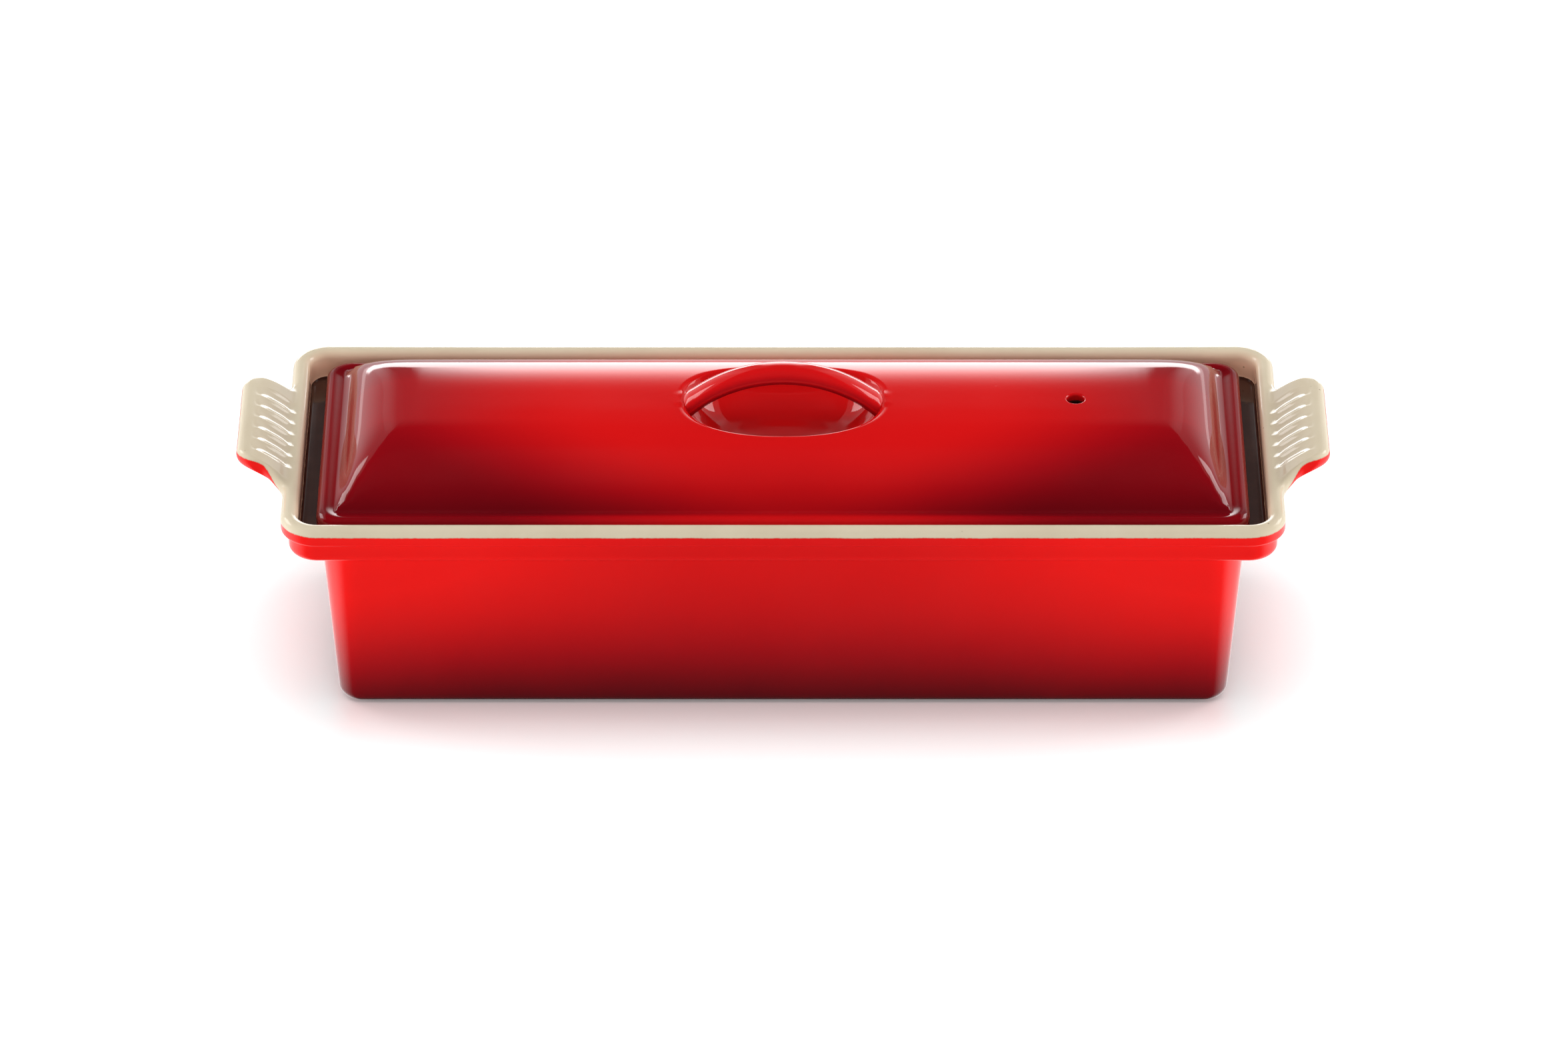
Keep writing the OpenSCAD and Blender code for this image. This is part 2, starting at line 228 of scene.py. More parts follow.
def dishColumn(d, station):
    tx, ty, dx, dy, outX, outY = station
    rim = (d["rimLength"] / 2 - d["rimCorner"], d["rimWidth"] / 2 - d["rimCorner"])
    slope = tan(radians(d["draft"]))
    points = []

    def put(rect, section):
        points.extend((tx * rect[0] + dx * r, ty * rect[1] + dy * r, z) for r, z in section)

    # puts even steps between the last two points
    def between(count):
        b, a = points.pop(), points.pop()
        points.extend(tuple(a[i] + (b[i] - a[i]) * t for i in range(3)) for t in steps(0, 1, count))

    # inside: floor, cavity wall, ledge, rim wall and the rim's inner edge
    deep = d["ledgeZ"] - d["floorZ"]
    foot = d["cavityCorner"] - deep * slope - d["cavityRound"] * (1 - slope)
    cavity = [(foot * d["floorShare"], d["floorZ"])]
    cavity += arcPoints(foot, d["floorZ"] + d["cavityRound"], d["cavityRound"], -90, -d["draft"], 9)
    edge = d["ledgeEdge"]
    top = arcPoints(d["cavityCorner"] + edge, d["ledgeZ"] - edge, edge, 180 - d["draft"], 90, 4)
    put(d["cavityRect"], cavity + top[:1])
    between(8)
    put(d["cavityRect"], top[1:])
    seatFrom = len(points) - 1
    innerR = d["rimCorner"] - d["rimWall"]
    fillet = d["ledgeFillet"]
    recess = arcPoints(innerR - fillet, d["ledgeZ"] + fillet, fillet, -90, 0, 4)
    put(rim, recess[:1])
    between(5)
    put(rim, recess[1:])
    seatTo = len(points) - 2
    wallTop = d["rimHeight"] - d["rimRound"]
    put(rim, [(innerR, z) for z in steps(d["ledgeZ"] + fillet, wallTop, 5)[1:-1]])
    put(rim, arcPoints(innerR + d["rimRound"], wallTop, d["rimRound"], 180, 90, 8))

    # across the rim's top, out along the tab where there is one, round its edge and back under it
    fromR = d["rimCorner"] - d["rimWall"] / 2
    start = Vector((tx * rim[0] + dx * fromR, ty * rim[1] + dy * fromR))
    end = Vector((outX, outY))
    length = (end - start).length
    reach = length - d["rimWall"] / 2
    share = ease(reach / d["tabEase"])
    edge = d["rimRound"] + (d["tabEdge"] - d["rimRound"]) * share
    outwards = steps(0, length - edge, 18) + [length - edge * (1 - sin(radians(a))) for a in steps(0, 90, 8)[1:]]
    for q in outwards:
        p = start.lerp(end, q / length)
        curve = sqrt(1 - (1 - clamp((length - q) / edge)) ** 2)
        plain = wallTop + d["rimRound"] * curve
        tab = tabTop(d, abs(p.x)) - d["tabEdge"] * (1 - curve)
        points.append((p.x, p.y, plain + (tab - plain) * share))
    lineAt = len(points) - 1

    # the share of the way out where the tab's underside meets the rim's outer face
    faceAt = 1
    if reach > 0.001:
        wide = abs(end.x) - abs(start.x)
        faceAt = (d["rimLength"] / 2 - abs(start.x)) / wide if abs(wide) > 1e-6 else 1 - reach / length
    if reach > edge + 1:
        under = [length - edge * (1 - cos(radians(a))) for a in steps(0, 90, 7)[1:]]
        under += steps(length - edge, faceAt * length, 9)[1:]
    else:
        under = [length * (1 - (1 - faceAt) * t) for t in steps(0, 1, 16)[1:]]
    for i, q in enumerate(under):
        p = start.lerp(end, q / length)
        curve = sqrt(1 - (1 - clamp((length - q) / d["tabEdge"])) ** 2)
        tab = tabTop(d, abs(p.x)) - d["tabEdge"] * (1 + curve)
        plain = wallTop - d["underFall"] * (i + 1) / len(under)
        points.append((p.x, p.y, plain + (tab - plain) * share))

    # outside: step, lower band, moulding underside, body wall and foot
    bandR = d["rimCorner"] - d["bandStep"]
    put(rim, [(d["rimCorner"], wallTop - d["stepDrop"])])
    put(rim, arcPoints(d["rimCorner"] - d["stepRound"], d["stepZ"] + d["stepRound"], d["stepRound"], 0, -90, 5))
    put(rim, arcPoints(bandR + d["stepFillet"], d["stepZ"] - d["stepFillet"], d["stepFillet"], 90, 180, 4))
    put(rim, [(bandR, d["bandZ"] + d["bandRound"] + d["bandLead"])])
    put(rim, arcPoints(bandR - d["bandRound"], d["bandZ"] + d["bandRound"], d["bandRound"], 0, -90, 7))
    neck = d["neckFillet"]
    body = arcPoints(d["bodyCorner"] + neck, d["bandZ"] - neck, neck, 90, 180 - d["draft"], 4)
    put(d["bodyRect"], body[:1])
    between(2)
    put(d["bodyRect"], body[1:])
    foot = d["bodyCorner"] - d["bandZ"] * slope - d["footRound"] * (1 - slope)
    heel = arcPoints(foot, d["footRound"], d["footRound"], -d["draft"], -90, 8)
    put(d["bodyRect"], heel[:1])
    between(14)
    put(d["bodyRect"], heel[1:] + [(foot * d["baseShare"], 0)])

    run = runAlong(points)
    column = []
    for i, (x, y, z) in enumerate(points):
        if seatTo < i <= lineAt and dx and not dy:
            z -= scallop(d, x, y)
        past = run[i] - run[lineAt] + d["tabLine"] * share
        inSeat = min(run[i] - run[seatFrom], run[seatTo] - run[i])
        column.append((x, y, z, past, inSeat, z))
    return column


dish = wrapGrid("enamelledDish", [dishColumn(dishSizes, s) for s in dishStations(dishSizes)])
print("dish made:", len(dish.data.polygons), "faces")


# The lid, in mm and degrees, with the numbers of its stations round the edge and along the bar
lidSizes = {
    "edge": (148.8, 49.9), "corner": 7.5, "ledgeZ": 66.2, "seatRound": 0.9,
    # The bead's lift brightens the red on it: painted light
    "beadZ": 74.5, "beadWidth": 6, "beadRound": 2.5, "beadFall": 3.4, "beadLight": 7.5, "beadEase": 3,
    "valleyZ": 73.7, "valleySoft": 1.2, "valleyReach": 12,
    "crownZ": 90.1, "endSlope": 30, "sidePower": 4, "endPower": 4, "hip": 2.6,
    "hollow": (139.76, 40.86), "hollowZ": 86.3, "hollowSoft": 3, "wallThick": 3.8,
    "well": (32, 21.8), "wellPower": 2.4, "wellZ": 77.6, "wellDepth": 12.5, "wellRise": 4.6, "lipSoft": 1.4,
    # The well's fall and its two shade steps darken the red in the well: painted shade
    "wellShadeFall": 6, "wellShadeTo": 0.6, "wellShadeEase": 0.35,
    "footSoft": 2.2, "footArea": (48, 9), "footFrom": 0.97, "footEase": 0.05,
    "barZ": 55.8, "barArch": 46.75, "barWidth": 10.4, "barThick": 5.8, "barReach": 37.5, "barSquare": 0.9,
    "barFlare": 0.4, "flareFrom": 22, "flareEase": 12, "barRidge": 0.14, "archShare": 0.98, "leanMost": 1.35,
    "swellReach": 36, "swellUnder": 0.3, "endDip": 0.12, "dipFrom": 31, "dipEase": 3, "sideDrop": 2.5,
    # The bar's shade values darken its red on its sides and underside: painted shade
    "ridgeShade": 9, "barUnderShade": 22, "underShadeFrom": 0.72, "underShadeFall": 0.6,
    "ventX": 94, "ventRadius": 2.8, "ventRound": 0.75, "ventPast": 3, "ventClear": 0.02,
    "ventNear": 6, "ventFlat": 9, "ventLineZ": 87.4, "ventDarkZ": 88.2, "ventDarkOut": 0.5, "flatNormal": 0.995,
    "endSteps": 34, "cornerSteps": 12, "sideSteps": 66, "barSides": 40, "barSteps": 72, "ventSteps": 48,
    "wellSteps": 14, "lipSteps": 12, "lipFrom": 0.84, "lipTo": 0.995,
    "topSteps": 46, "topPower": 1.7, "topShare": 0.55, "underSteps": 24, "bulgeSteps": 10,
}


# How much of its full height the crown has at a point: 1 in the middle, 0 at a rounded rectangle's edge
def crownShare(m, x, y, a, b, extra):
    side = 1 - clamp(abs(y) / b) ** (m["sidePower"] + extra)
    end = 1 - clamp((abs(x) - a + m["endSlope"]) / m["endSlope"]) ** (m["endPower"] + extra)
    if side * end <= 0:
        return 0
    h = m["hip"]
    return side * end / (side ** h + end ** h - (side * end) ** h) ** (1 / h)


# How far out a point lies from the well's middle, with 1 at its lip
def wellShare(m, x, y, grow=0):
    a, b = m["well"]
    p = m["wellPower"]
    return ((abs(x) / (a + grow)) ** p + (abs(y) / (b + grow)) ** p) ** (1 / p)


# Top of the bar's arch at a point, falling away past the bar's sides
def barTop(m, x, y):
    rise = m["barZ"] + sqrt(max(1, m["barArch"] ** 2 - x * x))
    half = m["barThick"] / 2
    over = abs(y) - (m["barWidth"] / 2 - half)
    drop = 0 if over <= 0 else half - sqrt(max(0, half ** 2 - over ** 2)) + m["sideDrop"] * max(0, over - half)
    return rise - drop


# Upper face of the lid: crown and edge bead, the scooped well, and the swell at the bar's feet
def lidTop(m, x, y, inset=inf):
    a, b = m["edge"][0] - m["beadWidth"], m["edge"][1] - m["beadWidth"]
    top = m["valleyZ"] + (m["crownZ"] - m["valleyZ"]) * crownShare(m, x, y, a, b, 0)
    if inset < m["valleyReach"]:
        bead = m["beadZ"] - (m["beadZ"] - m["valleyZ"]) * ease((inset - m["beadRound"]) / m["beadFall"])
        top = softMax(top, bead, m["valleySoft"])
    s = wellShare(m, x, y)
    top = softMin(top, m["wellZ"] + m["wellDepth"] * s ** m["wellRise"], m["lipSoft"])
    if s > m["footFrom"] and abs(x) < m["footArea"][0] and abs(y) < m["footArea"][1]:
        swell = softMax(top, barTop(m, x, y), m["footSoft"]) - top
        top += swell * ease((s - m["footFrom"]) / m["footEase"])
    return top


def lidUnder(m, x, y):
    a, b = m["hollow"]
    hollow = m["ledgeZ"] + (m["hollowZ"] - m["ledgeZ"]) * crownShare(m, x, y, a, b, 1)
    s = wellShare(m, x, y, m["wallThick"])
    return softMin(hollow, m["wellZ"] - m["wallThick"] + m["wellDepth"] * s ** m["wellRise"], m["hollowSoft"])


# The red darkens as this falls: down the long sides, in the well as painted shade; the bead lifts it as painted light
def lidShadeHeight(m, x, y):
    b = m["edge"][1] - m["beadWidth"]
    fall = (m["crownZ"] - m["valleyZ"]) * min(1, abs(y) / b) ** m["sidePower"]
    fall -= m["beadLight"] * ease((abs(y) - b) / m["beadEase"])
    fall += m["wellShadeFall"] * (1 - ease((wellShare(m, x, y) - m["wellShadeTo"]) / m["wellShadeEase"]))
    return m["crownZ"] - fall


def lidColumn(m, station):
    tx, ty, dx, dy = station
    points = []

    def ringPoint(inset, corner):
        a, b = m["edge"][0] - inset - corner, m["edge"][1] - inset - corner
        return Vector((tx * a + dx * corner, ty * b + dy * corner))

    def wellPoint(grow):
        inner = ringPoint(m["beadWidth"], m["corner"])
        angle = atan2(inner.y / (m["edge"][1] - m["beadWidth"]), inner.x / (m["edge"][0] - m["beadWidth"]))
        power = 2 / m["wellPower"]
        return Vector(((m["well"][0] + grow) * signedPower(cos(angle), power),
                       (m["well"][1] + grow) * signedPower(sin(angle), power)))

    def put(p, z):
        points.append((p.x, p.y, z))

    # on top: from the well's middle over its lip, down the crown and over the edge bead
    lip = wellPoint(0)
    rings = steps(0, m["lipFrom"], m["wellSteps"]) + steps(m["lipFrom"], m["lipTo"], m["lipSteps"])[1:]
    for p in (lip * s for s in rings):
        put(p, lidTop(m, p.x, p.y))
    rimCorner = m["corner"] - m["beadWidth"] / 2
    valley = ringPoint(m["beadWidth"], rimCorner)
    for q in steps(0, 1, m["topSteps"])[:-1]:
        p = lip.lerp(valley, q ** m["topPower"] * m["topShare"] + q * (1 - m["topShare"]))
        put(p, lidTop(m, p.x, p.y, m["beadWidth"] + (valley - p).length))
    for inset in steps(m["beadWidth"], m["beadRound"], 7):
        p = ringPoint(inset, m["corner"] - inset / 2)
        put(p, lidTop(m, p.x, p.y, inset))
    r = m["beadRound"]
    for a in steps(90, 0, 7)[1:]:
        inset = r * (1 - cos(radians(a)))
        put(ringPoint(inset, m["corner"] - inset / 2), m["beadZ"] - r * (1 - sin(radians(a))))

    # down the side, along the seat and back under the lid to the middle
    r = m["seatRound"]
    for z in steps(m["beadZ"] - m["beadRound"], m["ledgeZ"] + r, 4)[1:]:
        put(ringPoint(0, m["corner"]), z)
    lineAt = len(points) - 1
    for a in steps(0, 90, 5)[1:]:
        inset = r * (1 - cos(radians(a)))
        put(ringPoint(inset, m["corner"] - inset / 2), m["ledgeZ"] + r * (1 - sin(radians(a))))
    seatFrom = len(points) - 1
    seatIn = m["edge"][0] - m["hollow"][0]
    for inset in steps(r, seatIn, 4)[1:]:
        put(ringPoint(inset, rimCorner), m["ledgeZ"])
    seatTo = len(points) - 1
    bulge = wellPoint(m["wallThick"])
    hollow = ringPoint(seatIn, rimCorner)
    for q in steps(0, 1, m["underSteps"])[1:]:
        p = hollow.lerp(bulge, (q + q * q) / 2)
        put(p, lidUnder(m, p.x, p.y))
    for p in (bulge * s for s in steps(1, 0, m["bulgeSteps"])[1:]):
        put(p, lidUnder(m, p.x, p.y))

    run = runAlong(points)
    return [(x, y, z, at - run[lineAt], min(at - run[seatFrom], run[seatTo] - at), lidShadeHeight(m, x, y))
            for at, (x, y, z) in zip(run, points)]


# The bridge bar: a rounded section with a faint casting ridge, swept along its arch and sunk in the lid
def barColumns(m):
    half, thick, reach = m["barWidth"] / 2, m["barThick"] / 2, m["barReach"]
    arch = m["barArch"] - thick
    rows = [-reach] + steps(-reach, reach, m["barSteps"]) + [reach]
    columns = []
    for k in range(m["barSides"]):
        angle = 2 * pi * k / m["barSides"]
        c, s = cos(angle), sin(angle)
        onRidge = k % (m["barSides"] // 2) == 0
        ridge = signedPower(c, 1) * m["barRidge"] if onRidge else 0
        # Painted shade: the red darkens down the bar's sides and under it, a little less on the casting ridge
        underShade = m["ridgeShade"] if onRidge else m["barUnderShade"] * clamp(m["underShadeFrom"] - m["underShadeFall"] * s)
        column = []
        for row, x in enumerate(rows):
            deep = sqrt(arch ** 2 - x * x * m["archShare"])
            flare = m["barFlare"] * ease((abs(x) - m["flareFrom"]) / m["flareEase"])
            closing = 0 if row in (0, len(rows) - 1) else 1
            y = (half * signedPower(c, m["barSquare"]) * (1 + flare / half) + ridge) * closing
            z = m["barZ"] + deep
            swell = 0
            if abs(x) < m["swellReach"]:
                swell = softMax(m["crownZ"], z + thick, m["footSoft"]) - max(m["crownZ"], z + thick)
            z += thick * signedPower(s, m["barSquare"]) * min(arch / deep, m["leanMost"]) * closing
            z += swell * (1 if s > 0 else m["swellUnder"])
            z -= m["endDip"] * ease((abs(x) - m["dipFrom"]) / m["dipEase"])
            column.append((x, y, z, farFromCoats, farFromCoats, m["crownZ"] - underShade))
        columns.append(column)
    return columns


# The steam hole: a turned cutter with flared ends leaves the enamel's rounded edges
def ventCutter(m):
    bm = bmesh.new()
    r, soft, past = m["ventRadius"], m["ventRound"], m["ventPast"]
    high, low = m["crownZ"] + m["ventClear"], m["hollowZ"] - m["ventClear"]
    profile = [(0, high + past), (r + soft, high + past)]
    profile += arcPoints(r + soft, high - soft, soft, 90, 180, 6)
    profile += arcPoints(r + soft, low + soft, soft, 180, 270, 6)
    profile += [(r + soft, low - past), (0, low - past)]
    verts = [bm.verts.new(((m["ventX"] + x) * mm, 0, z * mm)) for x, z in profile]
    edges = [bm.edges.new(pair) for pair in zip(verts, verts[1:])]
    bmesh.ops.spin(bm, geom=verts + edges, cent=(m["ventX"] * mm, 0, 0), axis=(0, 0, 1), angle=2 * pi,
                   steps=m["ventSteps"], use_merge=True, use_duplicate=False)
    bmesh.ops.remove_doubles(bm, verts=bm.verts, dist=mergeDistance / 2)
    bmesh.ops.recalc_face_normals(bm, faces=bm.faces)
    return addPiece("ventCutter", bm)


# The cut leaves the hole's new vertices without values, so they are set here: red down to the middle of the wall,
# then the seat's dark colour. The small flat faces round the hole aren't smoothed
def makeLid(m):
    stations = roundStations(m["endSteps"], m["cornerSteps"], m["sideSteps"])
    shell = wrapGrid("enamelledLid", [lidColumn(m, s) for s in stations])
    cutter = ventCutter(m)
    cut = shell.modifiers.new("steamHole", "BOOLEAN")
    cut.operation, cut.object, cut.solver = "DIFFERENCE", cutter, "EXACT"
    graph = bpy.context.evaluated_depsgraph_get()
    holed = bpy.data.meshes.new_from_object(shell.evaluated_get(graph))
    shell.modifiers.clear()
    bar = wrapGrid("bridgeBar", barColumns(m))
    bm = bmesh.new()
    bm.from_mesh(holed)
    bm.from_mesh(bar.data)
    vent = Vector((m["ventX"] * mm, 0))
    layers = [bm.verts.layers.float[a] for a in enamelValues]
    for vert in bm.verts:
        away, z = (vert.co.xy - vent).length / mm, vert.co.z / mm
        if away < m["ventNear"]:
            # The hole's lower wall takes the seat's dark colour
            darkPart = min(m["ventDarkZ"] - z, m["ventRadius"] + m["ventDarkOut"] - away)
            for layer, value in zip(layers, (m["ventLineZ"] - z, darkPart, m["crownZ"])):
                vert[layer] = value
    for face in bm.faces:
        near = (face.calc_center_median().xy - vent).length < m["ventFlat"] * mm
        face.smooth = not (near and abs(face.normal.z) > m["flatNormal"])
    bm.to_mesh(shell.data)
    bm.free()
    for spare in (bar, cutter):
        bpy.data.objects.remove(spare)
    shell.data.name = "enamelledLid"
    return shell


lid = makeLid(lidSizes)
print("lid made:", len(lid.data.polygons), "faces")


# Adds nodes to a tree and links them: an input's value is a number, a colour or another node's output
class Nodes:
    def __init__(self, tree):
        self.tree = tree
        self.tree.nodes.clear()

    def feed(self, socket, value):
        if hasattr(value, "is_linked"):
            self.tree.links.new(value, socket)
        else:
            socket.default_value = value

    def add(self, kind, inputs=(), **settings):
        node = self.tree.nodes.new(kind)
        for key, value in settings.items():
            setattr(node, key, value)
        for name, value in dict(inputs).items():
            self.feed(node.inputs[name], value)
        return node

    def math(self, operation, a, b=0.0, c=0.0):
        return self.add("ShaderNodeMath", {0: a, 1: b, 2: c}, operation=operation).outputs[0]

    def ramp(self, value, low, high, toLow=0.0, toHigh=1.0, smooth=True):
        node = self.add("ShaderNodeMapRange", {"Value": value, "From Min": low, "From Max": high,
                                               "To Min": toLow, "To Max": toHigh},
                        interpolation_type="SMOOTHSTEP" if smooth else "LINEAR")
        return node.outputs["Result"]

    def mix(self, share, a, b):
        node = self.add("ShaderNodeMix", data_type="RGBA")
        for name, kind, value in (("Factor", "VALUE", share), ("A", "RGBA", a), ("B", "RGBA", b)):
            self.feed(next(s for s in node.inputs if s.name == name and s.type == kind), value)
        return next(s for s in node.outputs if s.type == "RGBA")

    def place(self):
        return self.add("ShaderNodeTexCoord").outputs["Object"]

    def noise(self, place, scale, detail, roughness=0.5):
        return self.add("ShaderNodeTexNoise", {"Vector": place, "Scale": scale, "Detail": detail,
                                               "Roughness": roughness}).outputs["Fac"]

    def emission(self, strength, colour=(1, 1, 1, 1)):
        return self.add("ShaderNodeEmission", {"Color": colour, "Strength": strength}).outputs["Emission"]

    def meshValue(self, name):
        return self.add("ShaderNodeAttribute", attribute_name=name).outputs["Fac"]

    def group(self, tree, inputs):
        node = self.add("ShaderNodeGroup", node_tree=tree)
        for name, value in inputs.items():
            self.feed(node.inputs[name], value)
        return node.outputs


# A new node group whose sockets are all numbers, its nodes and the sockets at its two ends
def startGroup(name, inputs, outputs):
    group = bpy.data.node_groups.new(name, "ShaderNodeTree")
    for key in inputs:
        group.interface.new_socket(name=key, in_out="INPUT", socket_type="NodeSocketFloat")
    for key in outputs:
        group.interface.new_socket(name=key, in_out="OUTPUT", socket_type="NodeSocketFloat")
    n = Nodes(group)
    return group, n, n.add("NodeGroupInput").outputs, n.add("NodeGroupOutput").inputs


# Shared effect: the gloss coat's orange peel, slow waves, pinholes and dull spots
coatPattern = {
    "peelScale": 420, "waveScale": 38, "pitScale": 210, "pitSize": (0.035, 0.09), "pitPickScale": 55,
    "pitPick": (0.62, 0.68), "dullScale": 16, "dullRange": (0.35, 0.7), "roughness": (0.05, 0.09),
}


def makeCoatGroup(c):
    group, n, come, go = startGroup("enamelCoat", ("Peel", "Waves", "Pinholes"), ("Height", "Roughness", "Specks"))
    place = n.place()
    peel = n.noise(place, c["peelScale"], 2)
    waves = n.noise(place, c["waveScale"], 1, 0.4)
    cells = n.add("ShaderNodeTexVoronoi", {"Vector": place, "Scale": c["pitScale"]})
    pits = n.ramp(cells.outputs["Distance"], *c["pitSize"], 1, 0)
    pits = n.math("MULTIPLY", pits, n.ramp(n.noise(place, c["pitPickScale"], 1), *c["pitPick"]))
    height = n.math("MULTIPLY", peel, come["Peel"])
    height = n.math("MULTIPLY_ADD", waves, come["Waves"], height)
    n.feed(go["Height"], n.math("SUBTRACT", height, n.math("MULTIPLY", pits, come["Pinholes"])))
    n.feed(go["Roughness"], n.ramp(n.noise(place, c["dullScale"], 4, 0.6), *c["dullRange"], *c["roughness"]))
    n.feed(go["Specks"], pits)
    return group


# Shared effect: a ragged, speckled line where one enamel ends on another, with distances in mm
linePattern = {"fineScale": 1400, "slowScale": 130, "sway": 1.6, "soft": 0.06, "crustWidth": 0.35}


def makeLineGroup(c):
    group, n, come, go = startGroup("enamelLine", ("Distance", "Ragged"), ("Past", "Crust"))
    place = n.place()
    wander = n.math("ADD", *(n.math("MULTIPLY_ADD", fac, c["sway"], -c["sway"] / 2)
                             for fac in (n.noise(place, c["fineScale"], 3, 0.65), n.noise(place, c["slowScale"], 2))))
    moved = n.math("MULTIPLY_ADD", wander, come["Ragged"], come["Distance"])
    n.feed(go["Past"], n.ramp(moved, -c["soft"], c["soft"]))
    n.feed(go["Crust"], n.ramp(n.math("ABSOLUTE", moved), 0, c["crustWidth"], 1, 0))
    return group


# Shared effect: the red's shading by a height on the mesh and by nearness to the ends, partly painted light and shade
shadePattern = {"cloudScale": 14, "sway": 8}


def makeShadeGroup(c):
    names = ("Height", "Low", "High", "Crest", "Shift", "EndFrom", "EndTo", "EndShare")
    group, n, come, go = startGroup("enamelShade", names, ("Light",))
    place = n.place()
    along = n.math("ABSOLUTE", n.add("ShaderNodeSeparateXYZ", {"Vector": place}).outputs["X"])
    sway = n.math("MULTIPLY_ADD", n.noise(place, c["cloudScale"], 3, 0.55), c["sway"], -c["sway"] / 2)
    up = n.ramp(n.math("ADD", come["Height"], sway), come["Low"], come["High"])
    fall = n.math("MAXIMUM", n.math("SUBTRACT", come["Crest"], come["Height"]), 0)
    spread = n.math("MULTIPLY", n.math("SQRT", fall), come["Shift"])
    far = n.math("ADD", n.math("MULTIPLY_ADD", along, 1 / mm, sway), spread)
    dark = n.math("MULTIPLY", n.ramp(far, come["EndFrom"], come["EndTo"]), come["EndShare"])
    n.feed(go["Light"], n.math("MULTIPLY", up, n.math("SUBTRACT", 1, dark)))
    return group


coatGroup = makeCoatGroup(coatPattern)
lineGroup = makeLineGroup(linePattern)
shadeGroup = makeShadeGroup(shadePattern)

enamelColours = {
    "bright": (0.80, 0.0085, 0.0072, 1), "middle": (0.33, 0.0028, 0.0060, 1), "deep": (0.10, 0.0018, 0.0048, 1),
    "cream": (0.63, 0.55, 0.41, 1), "creamWarm": (0.58, 0.49, 0.355, 1), "speck": (0.12, 0.07, 0.045, 1),
    "creamShade": (0.92, 0.53, 0.36, 1), "crust": (0.42, 0.20, 0.14, 1),
    "ground": (0.038, 0.011, 0.007, 1), "groundWorn": (0.055, 0.020, 0.013, 1),
}

# What both enamels share: the coat, the reds' range over the shading, and how strongly each mark shows
enamelFinish = {
    "coat": {"Peel": 0.22, "Waves": 0.5, "Pinholes": 0.6},
    "deepTo": (0.15, 0.5), "middleTo": (0.5, 1.25), "creamShadeFrom": (-11, -3),
    "stainScale": 22, "stain": (0.35, 0.75), "wornScale": 60, "worn": (0.4, 0.7),
    "speckShare": 0.55, "crustShare": 0.35, "crustHeight": 0.5,
    "bumpShare": 0.18, "bumpHeight": 0.00012, "seatRough": 0.03, "ior": 1.5,
}

# Each piece's enamel: how ragged its line and its seat's edge are in mm, whether the red comes before the line, and
# the shading in mm
dishEnamel = {
    "ragged": 0.32, "seatEdge": 0.3, "redFirst": False,
    # The dish's red darkens towards the bottom; it brightens towards both ends as painted light from the sides
    "shade": {"Low": -15, "High": 58, "Crest": 0, "Shift": 0, "EndFrom": 20, "EndTo": 150, "EndShare": -0.4},
}
lidEnamel = {
    "ragged": 0.3, "seatEdge": 0.25, "redFirst": True,
    "shade": {"Low": 50, "High": 94.5, "Crest": 90, "Shift": 15.5, "EndFrom": 62, "EndTo": 150, "EndShare": 0.64},
}


def makeEnamel(name, own, f, colours):
    material = bpy.data.materials.new(name)
    material.use_nodes = True
    n = Nodes(material.node_tree)
    place = n.place()
    inSeat = n.meshValue("inSeat")
    coat = n.group(coatGroup, f["coat"])
    line = n.group(lineGroup, {"Distance": n.meshValue("pastLine"), "Ragged": own["ragged"]})
    seat = n.group(lineGroup, {"Distance": inSeat, "Ragged": own["seatEdge"]})
    tone = n.group(shadeGroup, {"Height": n.meshValue("shadeHeight"), **own["shade"]})["Light"]
    red = n.mix(n.ramp(tone, *f["deepTo"], smooth=False), colours["deep"], colours["middle"])
    red = n.mix(n.ramp(tone, *f["middleTo"], smooth=False), red, colours["bright"])
    stain = n.ramp(n.noise(place, f["stainScale"], 5, 0.6), *f["stain"])
    cream = n.mix(stain, colours["cream"], colours["creamWarm"])
    # Painted shade on the cream near the seat, warmed by painted red bounce light from the lid
    cream = n.mix(n.ramp(inSeat, *f["creamShadeFrom"]), cream, colours["creamShade"])
    cream = n.mix(n.math("MULTIPLY", coat["Specks"], f["speckShare"]), cream, colours["speck"])
    outer = n.mix(line["Past"], red, cream) if own["redFirst"] else n.mix(line["Past"], cream, red)
    outer = n.mix(n.math("MULTIPLY", line["Crust"], f["crustShare"]), outer, colours["crust"])
    worn = n.ramp(n.noise(place, f["wornScale"], 4, 0.6), *f["worn"])
    colour = n.mix(seat["Past"], outer, n.mix(worn, colours["ground"], colours["groundWorn"]))
    height = n.math("MULTIPLY_ADD", line["Crust"], f["crustHeight"], coat["Height"])
    bump = n.add("ShaderNodeBump", {"Strength": f["bumpShare"], "Distance": f["bumpHeight"], "Height": height})
    rough = n.math("MULTIPLY_ADD", seat["Past"], f["seatRough"], coat["Roughness"])
    shader = n.add("ShaderNodeBsdfPrincipled", {"Base Color": colour, "Roughness": rough, "IOR": f["ior"],
                                                "Normal": bump.outputs["Normal"]})
    n.add("ShaderNodeOutputMaterial", {"Surface": shader.outputs["BSDF"]})
    return material


for piece, name, own in ((dish, "dishEnamel", dishEnamel), (lid, "lidEnamel", lidEnamel)):
    piece.data.materials.clear()
    piece.data.materials.append(makeEnamel(name, own, enamelFinish, enamelColours))
print("enamels mixed")

for piece, node, slot in ((dish, "dish", "dish_enamel"), (lid, "lid", "lid_enamel")):
    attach(piece, "root")
    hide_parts(node)
